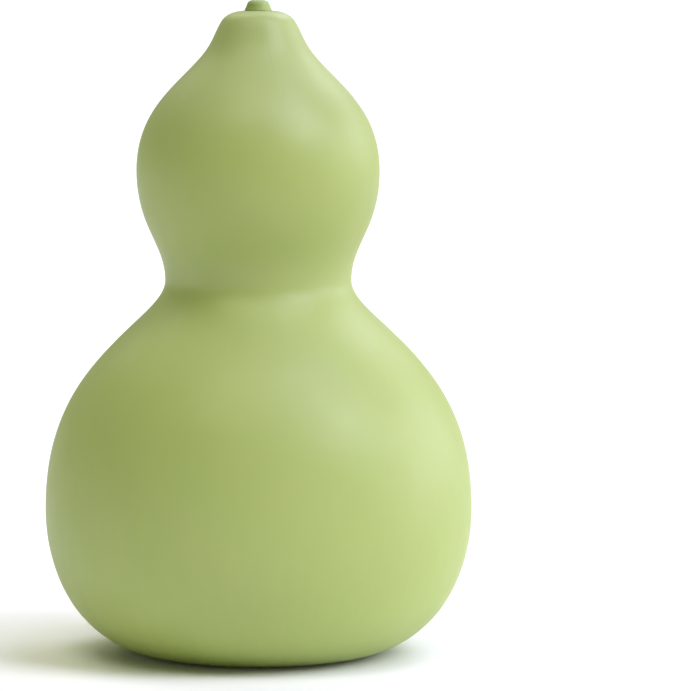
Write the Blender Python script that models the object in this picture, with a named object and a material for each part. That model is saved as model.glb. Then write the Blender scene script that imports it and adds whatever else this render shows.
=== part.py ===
"""A fresh bottle gourd standing on its blossom end, with the stub of its stem.

The fruit grew as one piece: a wide lower bulb, a waist, a small upper bulb, a drawn-in neck and a level
crown, all round one upright axis. The stem stub grows out of the crown. Metres, +Z up, and the origin is
on the surface that the gourd stands on, under its axis.
"""

import math
from collections import namedtuple

import bmesh
import bpy
from mathutils import Vector
from mathutils.geometry import interpolate_bezier

MM = 0.001

# Driving dimensions of the fruit
OVERALL_HEIGHT = 260.0 * MM
FLAT_RADIUS = 38.0 * MM
LOWER_BULB_RADIUS = 85.0 * MM
LOWER_BULB_HEIGHT = 59.0 * MM
WAIST_RADIUS = 37.0 * MM
WAIST_HEIGHT = 149.0 * MM
UPPER_BULB_RADIUS = 48.3 * MM
UPPER_BULB_HEIGHT = 192.6 * MM
NECK_RADIUS = 23.0 * MM
NECK_HEIGHT = 237.3 * MM
CROWN_EDGE_RADIUS = 14.5 * MM
CROWN_EDGE_HEIGHT = 251.7 * MM
CROWN_TOP_HEIGHT = 255.8 * MM

# Where the outline runs at a station, in degrees: 0 is outwards, 90 is up and 180 is inwards.
OUTWARDS = 0.0
UPWARDS = 90.0
NECK_LEAN = 131.0
CROWN_EDGE_LEAN = 123.0
INWARDS = 180.0

# Blossom end: a shallow dimple under the fruit, with the low button of the flower's scar in it
DIMPLE_RADIUS = 12.0 * MM
DIMPLE_DEPTH = 2.4 * MM
SCAR_RADIUS = 4.0 * MM
SCAR_RISE = 0.9 * MM

# Stem stub
STEM_FOOT_RADIUS = 5.4 * MM
STEM_FOOT_THICKNESS = 0.5 * MM
STEM_RADIUS = 4.6 * MM
STEM_LEAN = 105.0
STEM_SHOULDER_RADIUS = 4.2 * MM
STEM_SHOULDER_DROP = 1.1 * MM
STEM_SHOULDER_LEAN = 106.0
STEM_CUT_RADIUS = 2.5 * MM
STEM_ROOT_RADIUS = 4.2 * MM
STEM_ROOT_DEPTH = 3.0 * MM
STEM_RIDGES = 5
STEM_RIDGE_HEIGHT = 0.15 * MM

# The stem stays this far from the flesh all round.
CLEARANCE = 0.3 * MM

# Fineness of the turned surfaces
FRUIT_SIDES = 72
STEM_SIDES = 40
DIMPLE_STEPS = 6
SMOOTH_ANGLE = math.radians(40.0)
MERGE_DISTANCE = 0.001 * MM

SKIN_COLOUR = (0.44, 0.53, 0.19, 1.0)
SKIN_ROUGHNESS = 0.55
STEM_COLOUR = (0.27, 0.38, 0.11, 1.0)
STEM_ROUGHNESS = 0.65

# A station fixes the outline's radius, height and heading, how far its handles pull the curve before
# and after it, and the number of straight steps in the curve that leads up to it.
Station = namedtuple("Station", "radius height heading pull_before pull_after steps", defaults=(1,))


def heading_vector(station):
    """The unit direction of the outline at a station, as radius and height."""
    angle = math.radians(station.heading)
    return Vector((math.cos(angle), math.sin(angle)))


def outline_through(stations):
    """Points of one smooth outline through the stations, as radius and height."""
    points = [Vector((stations[0].radius, stations[0].height))]
    for start, end in zip(stations, stations[1:]):
        start_point = Vector((start.radius, start.height))
        end_point = Vector((end.radius, end.height))
        leaving = start_point + heading_vector(start) * start.pull_after
        arriving = end_point - heading_vector(end) * end.pull_before
        curve = interpolate_bezier(start_point, leaving, arriving, end_point, end.steps + 1)
        points.extend(point.to_2d() for point in curve[1:])
    return points


def turned_mesh(name, outline, sides):
    """A closed mesh, the outline turned once round the Z axis. The outline starts and ends on that axis."""
    shape = bmesh.new()
    corners = [shape.verts.new((point.x, 0.0, point.y)) for point in outline]
    edges = [shape.edges.new(pair) for pair in zip(corners, corners[1:])]
    bmesh.ops.spin(
        shape,
        geom=corners + edges,
        axis=(0.0, 0.0, 1.0),
        cent=(0.0, 0.0, 0.0),
        angle=math.tau,
        steps=sides,
        use_merge=True,
    )
    bmesh.ops.remove_doubles(shape, verts=shape.verts, dist=MERGE_DISTANCE)
    bmesh.ops.recalc_face_normals(shape, faces=shape.faces)
    mesh = bpy.data.meshes.new(name)
    shape.to_mesh(mesh)
    shape.free()
    return mesh


def plant_material(name, colour, roughness):
    """A matt, non-metallic surface in the plant's own colour."""
    material = bpy.data.materials.new(name)
    material.use_nodes = True
    material.diffuse_color = colour
    shader = material.node_tree.nodes["Principled BSDF"]
    shader.inputs["Base Color"].default_value = colour
    shader.inputs["Roughness"].default_value = roughness
    shader.inputs["Metallic"].default_value = 0.0
    return material


def add_object(name, mesh, material):
    """Shades the mesh smooth, gives it its material and links it as a named object."""
    mesh.shade_smooth()
    mesh.set_sharp_from_angle(angle=SMOOTH_ANGLE)
    mesh.materials.append(material)
    added = bpy.data.objects.new(name, mesh)
    bpy.context.scene.collection.objects.link(added)
    return added


def blossom_end():
    """The underside from the axis out to the flat: a low button in the middle of a shallow dimple."""
    points = []
    for step in range(DIMPLE_STEPS):
        radius = DIMPLE_RADIUS * step / DIMPLE_STEPS
        depth = DIMPLE_DEPTH * math.cos(math.pi / 2 * radius / DIMPLE_RADIUS)
        button = SCAR_RISE * max(0.0, 1.0 - (radius / SCAR_RADIUS) ** 2)
        points.append(Vector((radius, depth - button)))
    points.append(Vector((DIMPLE_RADIUS, 0.0)))
    return points


def fruit_side():
    """The fruit's outline from the edge of its flat, over both bulbs, to the top of its crown."""
    flat_edge = Station(
        FLAT_RADIUS, 0.0, OUTWARDS, pull_before=0.0, pull_after=25.0 * MM
    )
    lower_bulb = Station(
        LOWER_BULB_RADIUS, LOWER_BULB_HEIGHT, UPWARDS,
        pull_before=37.0 * MM, pull_after=60.5 * MM, steps=13,
    )
    waist = Station(
        WAIST_RADIUS, WAIST_HEIGHT, UPWARDS,
        pull_before=16.5 * MM, pull_after=14.5 * MM, steps=14,
    )
    upper_bulb = Station(
        UPPER_BULB_RADIUS, UPPER_BULB_HEIGHT, UPWARDS,
        pull_before=22.6 * MM, pull_after=23.2 * MM, steps=8,
    )
    neck = Station(
        NECK_RADIUS, NECK_HEIGHT, NECK_LEAN,
        pull_before=14.5 * MM, pull_after=8.0 * MM, steps=8,
    )
    crown_edge = Station(
        CROWN_EDGE_RADIUS, CROWN_EDGE_HEIGHT, CROWN_EDGE_LEAN,
        pull_before=5.2 * MM, pull_after=2.9 * MM, steps=4,
    )
    crown_top = Station(
        STEM_ROOT_RADIUS + CLEARANCE, CROWN_TOP_HEIGHT, INWARDS,
        pull_before=5.3 * MM, pull_after=0.0, steps=5,
    )
    return outline_through([flat_edge, lower_bulb, waist, upper_bulb, neck, crown_edge, crown_top])


def build_fruit(material):
    """The fruit: one solid, with the seat that the stem grows from sunk in its crown."""
    seat_floor = CROWN_TOP_HEIGHT - STEM_ROOT_DEPTH - CLEARANCE
    seat = [Vector((STEM_ROOT_RADIUS + CLEARANCE, seat_floor)), Vector((0.0, seat_floor))]
    outline = blossom_end() + fruit_side() + seat
    return add_object("gourd", turned_mesh("gourd", outline, FRUIT_SIDES), material)


def stem_outline():
    """The stem stub's outline from its root to its cut end, measured from the top of the crown."""
    cut_height = OVERALL_HEIGHT - CROWN_TOP_HEIGHT
    root = [
        Vector((0.0, -STEM_ROOT_DEPTH)),
        Vector((STEM_ROOT_RADIUS, -STEM_ROOT_DEPTH)),
        Vector((STEM_ROOT_RADIUS, CLEARANCE)),
        Vector((STEM_FOOT_RADIUS, CLEARANCE)),
    ]
    foot = Station(
        STEM_FOOT_RADIUS, CLEARANCE + STEM_FOOT_THICKNESS, INWARDS,
        pull_before=0.0, pull_after=0.6 * MM,
    )
    middle = Station(
        STEM_RADIUS, cut_height / 2, STEM_LEAN,
        pull_before=0.8 * MM, pull_after=0.5 * MM, steps=4,
    )
    shoulder = Station(
        STEM_SHOULDER_RADIUS, cut_height - STEM_SHOULDER_DROP, STEM_SHOULDER_LEAN,
        pull_before=0.5 * MM, pull_after=0.7 * MM, steps=2,
    )
    cut_edge = Station(
        STEM_CUT_RADIUS, cut_height, INWARDS,
        pull_before=1.0 * MM, pull_after=0.0, steps=4,
    )
    cut_centre = Vector((0.0, cut_height))
    return root + outline_through([foot, middle, shoulder, cut_edge]) + [cut_centre]


def raise_ridges(mesh):
    """Draws the stem's free length out into its low lengthwise ridges, by a wave round the axis."""
    for vertex in mesh.vertices:
        if vertex.co.z <= CLEARANCE:
            continue
        wave = math.cos(STEM_RIDGES * math.atan2(vertex.co.y, vertex.co.x))
        growth = 1.0 + STEM_RIDGE_HEIGHT / STEM_FOOT_RADIUS * wave
        vertex.co.x *= growth
        vertex.co.y *= growth


def build_stem(material, fruit):
    """The stem stub, set on the crown with its root in the fruit."""
    mesh = turned_mesh("stem", stem_outline(), STEM_SIDES)
    raise_ridges(mesh)
    stem = add_object("stem", mesh, material)
    stem.location = (0.0, 0.0, CROWN_TOP_HEIGHT)
    stem.parent = fruit
    return stem


def main():
    for leftover in list(bpy.data.objects):
        bpy.data.objects.remove(leftover)
    fruit = build_fruit(plant_material("gourd_skin", SKIN_COLOUR, SKIN_ROUGHNESS))
    build_stem(plant_material("gourd_stem", STEM_COLOUR, STEM_ROUGHNESS), fruit)


main()
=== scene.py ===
import math
from collections import namedtuple

import bpy
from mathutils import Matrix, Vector
from mathutils.geometry import interpolate_bezier


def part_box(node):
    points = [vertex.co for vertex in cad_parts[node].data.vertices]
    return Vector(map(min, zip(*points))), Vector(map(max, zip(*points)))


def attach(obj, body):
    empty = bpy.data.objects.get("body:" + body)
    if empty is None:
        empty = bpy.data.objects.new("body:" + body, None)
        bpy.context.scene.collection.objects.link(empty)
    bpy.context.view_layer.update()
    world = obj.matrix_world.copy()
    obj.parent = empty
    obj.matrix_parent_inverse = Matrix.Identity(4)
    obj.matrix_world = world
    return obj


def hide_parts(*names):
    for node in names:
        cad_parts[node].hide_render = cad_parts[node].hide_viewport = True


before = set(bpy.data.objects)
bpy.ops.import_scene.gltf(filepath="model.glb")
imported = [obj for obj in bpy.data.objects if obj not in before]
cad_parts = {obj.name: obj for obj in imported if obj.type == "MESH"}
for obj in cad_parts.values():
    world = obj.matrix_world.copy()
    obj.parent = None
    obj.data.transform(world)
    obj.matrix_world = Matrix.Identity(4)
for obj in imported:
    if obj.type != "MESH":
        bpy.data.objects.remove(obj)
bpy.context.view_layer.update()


# The fruit. It grew as one piece round one upright axis: a wide lower bulb, a waist, a small upper bulb, a
# neck drawn in to a level crown, and a shallow dimple under it where the flower was. Its skin is thin,
# smooth and pale green, with a soft waxy bloom over it.
MM = 0.001
fruit_low, fruit_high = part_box("gourd")
crown_height = fruit_high.z
lower_bulb_radius = (fruit_high.x - fruit_low.x) / 2

STEM_ROOT_DEPTH = 3.0 * MM
STEM_ROOT_RADIUS = 4.2 * MM
SEAT_GAP = 0.3 * MM
SCAR_RADIUS = 4.0 * MM
SCAR_GRAIN_SIZE = 0.9 * MM

# A station fixes an outline's radius, height and heading, how far its handles pull the curve before and
# after it, and the number of steps in the curve that leads up to it. A heading is in degrees: 0 is
# outwards, 90 is up and 180 is inwards.
Station = namedtuple("Station", "radius height heading pull_before pull_after steps", defaults=(1,))


def outline_through(stations):
    """Points of one smooth outline through the stations, with the radius along X and the height along Z."""
    def place(station):
        return Vector((station.radius, 0.0, station.height))

    def heading(station):
        angle = math.radians(station.heading)
        return Vector((math.cos(angle), 0.0, math.sin(angle)))

    points = [place(stations[0])]
    for start, end in zip(stations, stations[1:]):
        leaving = place(start) + heading(start) * start.pull_after
        arriving = place(end) - heading(end) * end.pull_before
        curve = interpolate_bezier(place(start), leaving, arriving, place(end), end.steps + 1)
        points.extend(curve[1:])
    return points


def new_object(name, data):
    """An object of that name in the scene, at the origin."""
    made = bpy.data.objects.new(name, data)
    bpy.context.scene.collection.objects.link(made)
    return made


def outline_piece(name, points):
    """An object whose mesh is only the outline, a row of points joined by edges, ready to be turned."""
    mesh = bpy.data.meshes.new(name)
    mesh.from_pydata(points, [(row, row + 1) for row in range(len(points) - 1)], [])
    return new_object(name, mesh)


class Wire:
    """One output of a node. Arithmetic on it adds the Math nodes that the expression stands for."""

    def __init__(self, bench, socket):
        self.bench = bench
        self.socket = socket

    def reckon(self, operation, first, second=0.0):
        return self.bench.add("ShaderNodeMath", {"operation": operation}, {0: first, 1: second})

    def __add__(self, other):
        return self.reckon("ADD", self, other)

    def __radd__(self, other):
        return self.reckon("ADD", other, self)

    def __sub__(self, other):
        return self.reckon("SUBTRACT", self, other)

    def __rsub__(self, other):
        return self.reckon("SUBTRACT", other, self)

    def __mul__(self, other):
        return self.reckon("MULTIPLY", self, other)

    def __rmul__(self, other):
        return self.reckon("MULTIPLY", other, self)

    def __truediv__(self, other):
        return self.reckon("DIVIDE", self, other)

    def __rtruediv__(self, other):
        return self.reckon("DIVIDE", other, self)

    def root(self):
        return self.reckon("SQRT", self)

    def sine(self):
        return self.reckon("SINE", self)

    def cosine(self):
        return self.reckon("COSINE", self)

    def parts(self):
        """The X, Y and Z of a vector, as three wires."""
        split = self.bench.add("ShaderNodeSeparateXYZ", sockets={"Vector": self})
        return [Wire(self.bench, output) for output in split.socket.node.outputs]

    def other_output(self, name):
        """Another output of the same node."""
        return Wire(self.bench, self.socket.node.outputs[name])

    def rise(self, low, high):
        """0 below low, 1 above high, and a smooth climb between them."""
        return self.bench.add(
            "ShaderNodeMapRange",
            {"interpolation_type": "SMOOTHSTEP"},
            {"Value": self, "From Min": low, "From Max": high, "To Min": 0.0, "To Max": 1.0},
        )


class Bench:
    """A node tree that is being wired, either a material's or a Geometry Nodes group."""

    def __init__(self, tree):
        self.tree = tree

    def add(self, kind, settings=None, sockets=None, output=0):
        """Adds a node: its settings first, then its sockets' values or links. Gives one of its outputs."""
        node = self.tree.nodes.new(kind)
        for name, setting in (settings or {}).items():
            setattr(node, name, setting)
        for name, value in (sockets or {}).items():
            self.feed(node.inputs[name], value)
        return Wire(self, node.outputs[output]) if node.outputs else None

    def feed(self, socket, value):
        """Links a wire to the socket, or sets the socket's own value."""
        if isinstance(value, Wire):
            self.tree.links.new(value.socket, socket)
        else:
            socket.default_value = value

    def vector(self, x, y, z):
        return self.add("ShaderNodeCombineXYZ", sockets={"X": x, "Y": y, "Z": z})

    def noise(self, place, size, detail=2.0, roughness=0.5, seed=0.0):
        """Soft random values from 0 to 1 round 0.5, whose largest grains are about that size in metres."""
        return self.add(
            "ShaderNodeTexNoise",
            {"noise_dimensions": "4D"},
            {"Vector": place, "W": seed, "Scale": 1.0 / size, "Detail": detail, "Roughness": roughness},
        )

    def cells(self, place, size, seed=0.0):
        """The distance from the middle of the nearest of many scattered cells, as a share of their size."""
        return self.add(
            "ShaderNodeTexVoronoi",
            {"voronoi_dimensions": "4D"},
            {"Vector": place, "W": seed, "Scale": 1.0 / size},
            output="Distance",
        )

    def tint(self, share, first, second):
        """A colour that goes from the first to the second as share goes from 0 to 1."""
        return self.add("ShaderNodeMix", {"data_type": "RGBA"}, {0: share, 6: first, 7: second}, output=2)

    def bump(self, height, depth, below=None):
        """A normal bent by a height from 0 to 1, worth depth in metres, on top of the bump below it."""
        sockets = {"Height": height, "Distance": depth, "Strength": 1.0}
        if below:
            sockets["Normal"] = below
        return self.add("ShaderNodeBump", sockets=sockets)


def off_axis(x, y):
    """How far a place lies from the upright axis, from its X and Y."""
    return (x * x + y * y).root()


# Points nearer than this are merged, which closes the seam and the two poles.
SEAM_DISTANCE = 0.0005 * MM

# The grain of the core, which is the scar or the cut end, is whole up to this share of the core's radius.
CORE_WHOLE_SHARE = 0.8


def turned_piece_tree():
    """The Geometry Nodes group that turns an outline round the Z axis and raises the relief on it."""
    tree = bpy.data.node_groups.new("turned_piece", "GeometryNodeTree")
    inputs = {
        "Outline": "NodeSocketGeometry",
        "Sides": "NodeSocketInt",
        "Folds": "NodeSocketInt",
        "Fold share": "NodeSocketFloat",
        "Folds from": "NodeSocketFloat",
        "Folds to": "NodeSocketFloat",
        "Swell": "NodeSocketFloat",
        "Swell size": "NodeSocketFloat",
        "Swell from": "NodeSocketFloat",
        "Swell to": "NodeSocketFloat",
        "Core radius": "NodeSocketFloat",
        "Core relief": "NodeSocketFloat",
        "Core grain": "NodeSocketFloat",
        "Seed": "NodeSocketFloat",
        "Material": "NodeSocketMaterial",
    }
    for name, kind in inputs.items():
        tree.interface.new_socket(name, in_out="INPUT", socket_type=kind)
    tree.interface.new_socket("Turned piece", in_out="OUTPUT", socket_type="NodeSocketGeometry")
    bench = Bench(tree)
    first_input = bench.add("NodeGroupInput")
    given = {name: first_input.other_output(name) for name in inputs}

    # A flat grid, one unit wide and high round the origin, has one row for each point of the outline and one
    # column for each side, and a last column that closes on the first.
    rows = bench.add("GeometryNodeAttributeDomainSize", sockets={"Geometry": given["Outline"]})
    grid = bench.add(
        "GeometryNodeMeshGrid",
        sockets={"Size X": 1.0, "Size Y": 1.0, "Vertices X": given["Sides"] + 1, "Vertices Y": rows},
    )
    across, along, _ = bench.add("GeometryNodeInputPosition").parts()
    row = bench.add("FunctionNodeFloatToInt", {"rounding_mode": "ROUND"}, {0: (along + 0.5) * (rows - 1)})
    outline_place = bench.add(
        "GeometryNodeSampleIndex",
        {"data_type": "FLOAT_VECTOR"},
        {
            "Geometry": given["Outline"],
            "Value": bench.add("GeometryNodeInputPosition"),
            "Index": row,
        },
    )
    radius, _, height = outline_place.parts()

    # Each column is turned to its own angle. The folds are a wave round the axis, a share of the radius.
    angle = (across + 0.5) * math.tau
    fold_strength = given["Fold share"] * height.rise(given["Folds from"], given["Folds to"])
    folded_radius = radius * (1 + fold_strength * (angle * given["Folds"]).cosine())
    turned = bench.add(
        "GeometryNodeSetPosition",
        sockets={
            "Geometry": grid,
            "Position": bench.vector(folded_radius * angle.cosine(), folded_radius * angle.sine(), height),
        },
    )
    closed = bench.add(
        "GeometryNodeMergeByDistance", sockets={"Geometry": turned, "Distance": SEAM_DISTANCE}
    )

    # The slow swell of grown skin, and the rough grain of the scar or the cut end round the axis.
    surface = bench.add("GeometryNodeInputPosition")
    x, y, z = surface.parts()
    swell = bench.noise(surface, given["Swell size"], seed=given["Seed"])
    swell_height = (swell - 0.5) * given["Swell"] * z.rise(given["Swell from"], given["Swell to"])
    grain = bench.noise(surface, given["Core grain"], detail=4.0, roughness=0.6, seed=given["Seed"])
    core_radius = given["Core radius"]
    in_core = 1 - off_axis(x, y).rise(core_radius * CORE_WHOLE_SHARE, core_radius)
    core_height = (grain - 0.5) * given["Core relief"] * in_core
    lift = bench.add(
        "ShaderNodeVectorMath",
        {"operation": "SCALE"},
        {0: bench.add("GeometryNodeInputNormal"), "Scale": swell_height + core_height},
    )
    raised = bench.add("GeometryNodeSetPosition", sockets={"Geometry": closed, "Offset": lift})
    smooth = bench.add("GeometryNodeSetShadeSmooth", sockets={"Geometry": raised})
    realized = bench.add("GeometryNodeRealizeInstances", sockets={"Geometry": smooth})
    finished = bench.add(
        "GeometryNodeSetMaterial", sockets={"Geometry": realized, "Material": given["Material"]}
    )
    bench.add("NodeGroupOutput", sockets={"Turned piece": finished})
    return tree


turned_piece = turned_piece_tree()


def turn(piece, **sizes):
    """Turns an outline piece into a closed plain mesh by the turned_piece group, with those sizes."""
    modifier = piece.modifiers.new("turned_piece", "NODES")
    modifier.node_group = turned_piece
    for item in turned_piece.interface.items_tree:
        key = item.name.lower().replace(" ", "_")
        if item.in_out == "INPUT" and key in sizes:
            modifier[item.identifier] = sizes[key]
    evaluated = piece.evaluated_get(bpy.context.evaluated_depsgraph_get())
    mesh = bpy.data.meshes.new_from_object(evaluated)
    mesh.name = piece.name
    piece.modifiers.remove(modifier)
    piece.data = mesh


def new_material(name):
    """A material with a Bench for its tree and its Principled shader's sockets."""
    material = bpy.data.materials.new(name)
    material.use_nodes = True
    return material, Bench(material.node_tree), material.node_tree.nodes["Principled BSDF"].inputs


def streaked(bench, place, grain_angle, height_per_radian):
    """Noise drawn out along the fruit. Its streaks run together towards the crown and the blossom end.

    The grain's width is an angle in radians, and that many metres of height count as one radian.
    """
    x, y, z = place.parts()
    radius = off_axis(x, y)
    turned_place = bench.vector(x / radius, y / radius, z / height_per_radian)
    return bench.noise(turned_place, grain_angle, detail=3.0, seed=5.0)


# The skin's colours from the crown down to the base, and then those of its marks. The greens by height hold
# painted light as well as the skin's own colour: the base's green is painted paler for light bounced up from
# the floor, and the waist's green holds part of a painted highlight on the lower bulb's upper slope.
CROWN_TOP_HIGHLIGHT_GREEN = (0.370, 0.430, 0.170, 1.0)
CROWN_GREEN = (0.311, 0.375, 0.114, 1.0)
UPPER_BULB_GREEN = (0.314, 0.391, 0.085, 1.0)
WAIST_GREEN_AND_HIGHLIGHT = (0.326, 0.402, 0.103, 1.0)
BASE_GREEN_AND_BOUNCE_LIGHT = (0.379, 0.476, 0.119, 1.0)
SKIN_YELLOW_GREEN = (0.385, 0.440, 0.125, 1.0)
SKIN_DEEP_GREEN = (0.275, 0.370, 0.090, 1.0)
FLECK_GREEN = (0.450, 0.520, 0.220, 1.0)
RESTING_SPOT = (0.450, 0.455, 0.190, 1.0)
SCAR_BROWN = (0.230, 0.150, 0.070, 1.0)
SCAR_DARK = (0.085, 0.052, 0.025, 1.0)

# Where the skin goes from one colour to the next, as shares of the crown's height.
BASE_TO_WAIST = (0.0, 0.52)
WAIST_TO_UPPER_BULB = (0.56, 0.66)
UPPER_BULB_TO_CROWN = (0.75, 0.88)

# How large the skin's marks are, how strongly they tint it, and how far they stand out. The middle of a
# noise's range is spread over the whole of it.
NOISE_MIDDLE = (0.30, 0.70)
PATCH_SIZE = 38.0 * MM
PATCH_TINT = 0.20
STREAK_ANGLE = 0.055
STREAK_HEIGHT_PER_RADIAN = 0.35
STREAK_TINT = 0.10
STREAK_DEPTH = 0.015 * MM
FLECK_CELL_SIZE = 3.6 * MM
FLECK_TINT = 0.16
FLECK_DEPTH = 0.006 * MM
PORE_SIZE = 0.8 * MM
PORE_DEPTH = 0.008 * MM
CROWN_TOP_HIGHLIGHT_TINT = 0.7
RESTING_SPOT_TINT = 0.6

# How rough the skin is, and how much rougher the bloom and the scar make it.
SKIN_ROUGHNESS = 0.46
BLOOM_SIZE = 22.0 * MM
BLOOM_ROUGHNESS = 0.08
SCAR_ROUGHNESS = 0.3
SKIN_SPECULAR_LEVEL = 0.65

skin, bench, shader = new_material("gourd_skin")
place = bench.add("ShaderNodeTexCoord", output="Object")
x, y, z = place.parts()
from_axis = off_axis(x, y)
patches = bench.noise(place, PATCH_SIZE, detail=3.0, seed=1.0).rise(*NOISE_MIDDLE)
streaks = streaked(bench, place, STREAK_ANGLE, STREAK_HEIGHT_PER_RADIAN).rise(*NOISE_MIDDLE)

# A fleck is the middle of a cell, and not every cell has one.
fleck_cells = bench.cells(place, FLECK_CELL_SIZE)
which_cell = fleck_cells.other_output("Color").parts()[0]
fleck_share = (1 - fleck_cells.rise(0.06, 0.17)) * which_cell.rise(0.35, 0.75)

share_of_height = z / crown_height
# Painted light: paler towards the base for light bounced up from the floor, and part of a highlight at the
# waist.
colour = bench.tint(share_of_height.rise(*BASE_TO_WAIST), BASE_GREEN_AND_BOUNCE_LIGHT, WAIST_GREEN_AND_HIGHLIGHT)
colour = bench.tint(share_of_height.rise(*WAIST_TO_UPPER_BULB), colour, UPPER_BULB_GREEN)
colour = bench.tint(share_of_height.rise(*UPPER_BULB_TO_CROWN), colour, CROWN_GREEN)
colour = bench.tint(patches * PATCH_TINT, colour, SKIN_YELLOW_GREEN)
colour = bench.tint((1 - streaks) * STREAK_TINT, colour, SKIN_DEEP_GREEN)
colour = bench.tint(fleck_share * FLECK_TINT, colour, FLECK_GREEN)

# The crown's level top is painted paler: a painted highlight where the light grazes it. The skin is paler
# and yellower where the fruit stood, and corky on the flower's scar.
crown_top_highlight = z.rise(crown_height - 2.6 * MM, crown_height - 1.0 * MM)
colour = bench.tint(crown_top_highlight * CROWN_TOP_HIGHLIGHT_TINT, colour, CROWN_TOP_HIGHLIGHT_GREEN)
stood_on = (1 - z.rise(0.3 * MM, 2.0 * MM)) * from_axis.rise(11.0 * MM, 15.0 * MM)
colour = bench.tint(stood_on * RESTING_SPOT_TINT, colour, RESTING_SPOT)
under = 1 - z.rise(6.0 * MM, 9.0 * MM)
scar = under * (1 - from_axis.rise(SCAR_RADIUS * 0.9, SCAR_RADIUS * 1.1))
scar_grain = bench.noise(place, SCAR_GRAIN_SIZE, detail=4.0, seed=2.0)
colour = bench.tint(scar, colour, bench.tint(scar_grain.rise(0.35, 0.65), SCAR_DARK, SCAR_BROWN))
bench.feed(shader["Base Color"], colour)

# A soft waxy bloom makes the skin satin, and a little duller in patches.
bloom = bench.noise(place, BLOOM_SIZE, detail=4.0, seed=4.0).rise(*NOISE_MIDDLE)
bench.feed(shader["Roughness"], SKIN_ROUGHNESS + bloom * BLOOM_ROUGHNESS + scar * SCAR_ROUGHNESS)
shader["Specular IOR Level"].default_value = SKIN_SPECULAR_LEVEL
pores = bench.noise(place, PORE_SIZE, detail=2.0, seed=6.0)
relief = bench.bump(streaks, STREAK_DEPTH)
relief = bench.bump(fleck_share, FLECK_DEPTH, below=relief)
bench.feed(shader["Normal"], bench.bump(pores, PORE_DEPTH, below=relief))

fruit_stations = [
    # The scar at the blossom end, then the flat ring that the fruit stands on.
    Station(0.0, 1.5 * MM, 0.0, 0.0, 2.0 * MM),
    Station(SCAR_RADIUS, 2.1 * MM, 2.0, 1.5 * MM, 2.5 * MM, steps=14),
    Station(13.5 * MM, 0.0, 0.0, 4.0 * MM, 8.0 * MM, steps=16),
    Station(38.0 * MM, 0.0, 0.0, 8.0 * MM, 25.0 * MM, steps=12),
    # The lower bulb, the waist and the upper bulb.
    Station(lower_bulb_radius, 59.0 * MM, 90.0, 37.0 * MM, 60.5 * MM, steps=60),
    Station(37.0 * MM, 149.0 * MM, 90.0, 16.5 * MM, 14.5 * MM, steps=64),
    Station(48.3 * MM, 192.6 * MM, 90.0, 22.6 * MM, 23.2 * MM, steps=40),
    # The neck, the crown, and the mouth of the seat for the stem's root.
    Station(23.0 * MM, 237.3 * MM, 131.0, 14.5 * MM, 8.0 * MM, steps=40),
    Station(14.5 * MM, 251.7 * MM, 123.0, 5.2 * MM, 2.9 * MM, steps=24),
    Station(STEM_ROOT_RADIUS + SEAT_GAP, crown_height, 180.0, 5.3 * MM, 0.0, steps=24),
]
seat_floor = crown_height - STEM_ROOT_DEPTH - SEAT_GAP
seat = [Vector((STEM_ROOT_RADIUS + SEAT_GAP, 0.0, seat_floor)), Vector((0.0, 0.0, seat_floor))]
fruit = outline_piece("gourd_fruit", outline_through(fruit_stations) + seat)
turn(
    fruit,
    sides=240,
    folds=5,
    fold_share=0.008,
    folds_from=232.0 * MM,
    folds_to=254.0 * MM,
    swell=0.8 * MM,
    swell_size=45.0 * MM,
    swell_from=1.0 * MM,
    swell_to=20.0 * MM,
    core_radius=SCAR_RADIUS,
    core_relief=0.5 * MM,
    core_grain=SCAR_GRAIN_SIZE,
    seed=3.0,
    material=skin,
)
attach(fruit, "root")
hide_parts("gourd")


# The stem stub is woody, and was cut short where the fruit was picked. Its root sits in the crown, and its
# foot flares out on to it. It is darker green than the skin, with shade painted deeper on its left side,
# away from the lamps, and it has five low ridges and a paler cut end.
stem_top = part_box("stem")[1].z
STEM_RIDGES = 5
FOOT_SINK = 0.05 * MM

STEM_GREEN = (0.295, 0.375, 0.102, 1.0)
STEM_PAINTED_SHADE_GREEN = (0.206, 0.290, 0.057, 1.0)
STEM_RIDGE_GREEN = (0.190, 0.270, 0.050, 1.0)
STEM_CUT_GREEN = (0.310, 0.370, 0.150, 1.0)
STEM_PITH = (0.450, 0.480, 0.290, 1.0)
STEM_VESSEL = (0.210, 0.250, 0.090, 1.0)

# The fibres are a noise that is squeezed in height, so that it runs along the stem.
FIBRE_SIZE = 0.45 * MM
FIBRE_SQUEEZE = 0.12
FIBRE_TINT = 0.3
FIBRE_DEPTH = 0.06 * MM
RIDGE_TINT = 0.15
FOOT_TINT = 0.2
SHOULDER_TINT = 0.3
CUT_GRAIN_SIZE = 0.35 * MM
CUT_GRAIN_TINT = 0.3
CUT_GRAIN_DEPTH = 0.05 * MM
PITH_TINT = 0.9
VESSEL_BUNDLES = 10
VESSEL_TINT = 0.8
STEM_ROUGHNESS = 0.52
FIBRE_ROUGHNESS = 0.1
CUT_ROUGHNESS = 0.15

stem_skin, bench, shader = new_material("gourd_stem")
place = bench.add("ShaderNodeTexCoord", output="Object")
x, y, z = place.parts()
from_axis = off_axis(x, y)
angle = bench.add("ShaderNodeMath", {"operation": "ARCTAN2"}, {0: y, 1: x})
fibres = bench.noise(bench.vector(x, y, z * FIBRE_SQUEEZE), FIBRE_SIZE, detail=3.0, seed=7.0)
ridges = (angle * STEM_RIDGES).cosine() * 0.5 + 0.5
# Painted shade: the left side, away from the lamps on the right, is painted deeper green than the lit right
# side.
painted_lit_side = x.rise(-2.0 * MM, 0.5 * MM)
colour = bench.tint(painted_lit_side, STEM_PAINTED_SHADE_GREEN, STEM_GREEN)
ridge_share = ridges * RIDGE_TINT + fibres.rise(0.35, 0.70) * FIBRE_TINT
colour = bench.tint(ridge_share, colour, STEM_RIDGE_GREEN)

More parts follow.
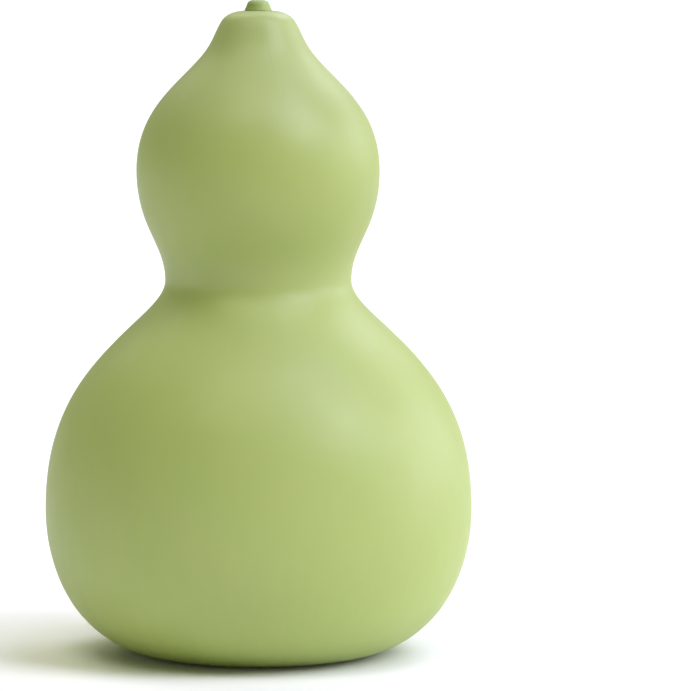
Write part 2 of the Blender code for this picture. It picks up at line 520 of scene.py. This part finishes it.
# It is paler where its foot joins the crown, and near the cut.
foot = 1 - z.rise(crown_height + 0.2 * MM, crown_height + 1.0 * MM)
colour = bench.tint(foot * FOOT_TINT, colour, CROWN_TOP_HIGHLIGHT_GREEN)
shoulder = z.rise(crown_height + 2.0 * MM, crown_height + 3.4 * MM)
colour = bench.tint(shoulder * SHOULDER_TINT, colour, STEM_CUT_GREEN)

# The cut end: a paler rind, ten dark vessel bundles in a ring, and the pith in the middle.
cut_grain = bench.noise(place, CUT_GRAIN_SIZE, detail=3.0, seed=9.0).rise(*NOISE_MIDDLE)
pith = 1 - from_axis.rise(0.9 * MM, 1.5 * MM)
in_ring = from_axis.rise(1.45 * MM, 1.7 * MM) * (1 - from_axis.rise(2.0 * MM, 2.25 * MM))
vessels = in_ring * (angle * VESSEL_BUNDLES).cosine().rise(0.35, 0.8)
cut_colour = bench.tint(pith * PITH_TINT, STEM_CUT_GREEN, STEM_PITH)
cut_colour = bench.tint(cut_grain * CUT_GRAIN_TINT, cut_colour, STEM_RIDGE_GREEN)
cut_colour = bench.tint(vessels * VESSEL_TINT, cut_colour, STEM_VESSEL)
cut_end = z.rise(stem_top - 0.9 * MM, stem_top - 0.3 * MM) * (1 - from_axis.rise(3.1 * MM, 3.7 * MM))
bench.feed(shader["Base Color"], bench.tint(cut_end, colour, cut_colour))
bench.feed(shader["Roughness"], STEM_ROUGHNESS + fibres * FIBRE_ROUGHNESS + cut_end * CUT_ROUGHNESS)
relief = bench.bump(fibres, FIBRE_DEPTH)
bench.feed(shader["Normal"], bench.bump(cut_grain * cut_end, CUT_GRAIN_DEPTH, below=relief))

# The root goes up to the crown inside the seat. The foot starts just under the crown's skin and flares over
# the seat's mouth. The shaft narrows from there to the rounded rim of the cut.
root = [
    Vector((0.0, 0.0, crown_height - STEM_ROOT_DEPTH)),
    Vector((STEM_ROOT_RADIUS, 0.0, crown_height - STEM_ROOT_DEPTH)),
]
stem_stations = [
    Station(STEM_ROOT_RADIUS, crown_height - FOOT_SINK, 0.0, 0.0, 0.0),
    Station(5.3 * MM, crown_height - FOOT_SINK, 0.0, 0.3 * MM, 0.05 * MM, steps=4),
    Station(5.4 * MM, crown_height + 0.25 * MM, 95.0, 0.15 * MM, 0.3 * MM, steps=6),
    Station(4.6 * MM, crown_height + 2.1 * MM, 105.0, 0.8 * MM, 0.5 * MM, steps=14),
    Station(4.2 * MM, crown_height + 3.1 * MM, 106.0, 0.4 * MM, 0.4 * MM, steps=8),
    Station(2.0 * MM, stem_top, 180.0, 1.2 * MM, 0.5 * MM, steps=12),
    Station(0.0, stem_top - 0.1 * MM, 180.0, 0.6 * MM, 0.0, steps=8),
]
stem = outline_piece("gourd_stem", root + outline_through(stem_stations))
turn(
    stem,
    sides=160,
    folds=STEM_RIDGES,
    fold_share=0.025,
    folds_from=crown_height - 0.1 * MM,
    folds_to=crown_height + 0.3 * MM,
    swell=0.2 * MM,
    swell_size=2.5 * MM,
    swell_from=crown_height,
    swell_to=crown_height + 1.0 * MM,
    core_radius=2.9 * MM,
    core_relief=0.15 * MM,
    core_grain=0.5 * MM,
    seed=8.0,
    material=stem_skin,
)
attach(stem, "root")
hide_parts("stem")


# The floor is one wide sheet of pale, dull paper. It lies level under the gourd, and reaches past the edges
# of the picture.
FLOOR_SIDE = 80.0
FLOOR_WHITE = (0.9, 0.9, 0.9, 1.0)
FLOOR_ROUGHNESS = 0.9
half = FLOOR_SIDE / 2
floor_mesh = bpy.data.meshes.new("floor")
floor_mesh.from_pydata(
    [(-half, -half, 0.0), (half, -half, 0.0), (half, half, 0.0), (-half, half, 0.0)], [], [(0, 1, 2, 3)]
)
floor = new_object("floor", floor_mesh)
floor_paper, bench, shader = new_material("floor_paper")
shader["Base Color"].default_value = FLOOR_WHITE
shader["Roughness"].default_value = FLOOR_ROUGHNESS
floor_mesh.materials.append(floor_paper)


# The light is plain and soft: eight wide lamps, far off, stand round the gourd as a studio's soft boxes do,
# and a pale band of wall runs round the room near the floor. The lamps on the right are a little cooler
# than the wall and the lamps on the left. The background is white, as the floor is.
LAMP_WIDTH = math.radians(30.0)
COOL_WHITE = (0.82, 0.82, 1.0)
WARM_WHITE = (1.0, 1.0, 0.80)
BAND_STRENGTH = 0.407
BAND_LOW = 0.20
BAND_HIGH = 0.57
WALL_WHITE = 1.4


def look_in(holder, azimuth, elevation):
    """Turns a lamp or the camera to look in from that side. 0 is the front, and 90 is the right of it."""
    turn_angle = math.radians(azimuth)
    rise_angle = math.radians(elevation)
    towards = Vector((
        math.sin(turn_angle) * math.cos(rise_angle),
        -math.cos(turn_angle) * math.cos(rise_angle),
        math.sin(rise_angle),
    ))
    holder.rotation_euler = towards.to_track_quat("Z", "Y").to_euler()


def soft_lamp(name, azimuth, elevation, strength, colour):
    """A lamp far off on that side, with a wide, soft disc."""
    lamp = bpy.data.lights.new(name, "SUN")
    lamp.energy = strength
    lamp.color = colour
    lamp.angle = LAMP_WIDTH
    look_in(new_object(name, lamp), azimuth, elevation)


soft_lamp("key_lamp", azimuth=60.0, elevation=40.0, strength=1.79, colour=COOL_WHITE)
soft_lamp("high_key_lamp", azimuth=60.0, elevation=65.0, strength=1.12, colour=COOL_WHITE)
soft_lamp("right_lamp", azimuth=90.0, elevation=15.0, strength=0.82, colour=COOL_WHITE)
soft_lamp("low_right_back_lamp", azimuth=120.0, elevation=15.0, strength=0.84, colour=COOL_WHITE)
soft_lamp("right_back_lamp", azimuth=150.0, elevation=40.0, strength=1.08, colour=COOL_WHITE)
soft_lamp("left_back_lamp", azimuth=210.0, elevation=40.0, strength=0.43, colour=WARM_WHITE)
soft_lamp("high_left_back_lamp", azimuth=210.0, elevation=65.0, strength=0.49, colour=WARM_WHITE)
soft_lamp("left_fill_lamp", azimuth=330.0, elevation=65.0, strength=0.81, colour=WARM_WHITE)

# A ray's rise is the sine of its angle above level. The camera sees plain white in place of the band.
world = bpy.data.worlds.new("pale_room")
bpy.context.scene.world = world
world.use_nodes = True
bench = Bench(world.node_tree)
background = world.node_tree.nodes["Background"].inputs
ray_rise = bench.add("ShaderNodeTexCoord", output="Generated").parts()[2]
band_light = (1 - ray_rise.rise(BAND_LOW, BAND_HIGH)) * BAND_STRENGTH
seen = bench.add("ShaderNodeLightPath", output="Is Camera Ray")
background["Color"].default_value = (*WARM_WHITE, 1.0)
bench.feed(background["Strength"], band_light + (WALL_WHITE - band_light) * seen)


# The camera stands in front of the gourd, just above the height of its stem, and looks down a little through
# a long lens. It is turned slightly to the right, so the gourd is left of the middle of the picture.
CAMERA_PLACE = (0.0, -1.8449, 0.2922)
CAMERA_AZIMUTH = -1.076
CAMERA_ELEVATION = 5.247
SENSOR_WIDTH = 36.0
LENS_LENGTH = 242.4
NEAREST_SEEN = 0.1
FARTHEST_SEEN = 200.0
camera_data = bpy.data.cameras.new("camera")
camera_data.sensor_width = SENSOR_WIDTH
camera_data.lens = LENS_LENGTH
camera_data.clip_start = NEAREST_SEEN
camera_data.clip_end = FARTHEST_SEEN
camera = new_object("camera", camera_data)
camera.location = CAMERA_PLACE
look_in(camera, CAMERA_AZIMUTH, CAMERA_ELEVATION)
bpy.context.scene.camera = camera
bpy.context.scene.view_settings.view_transform = "Standard"
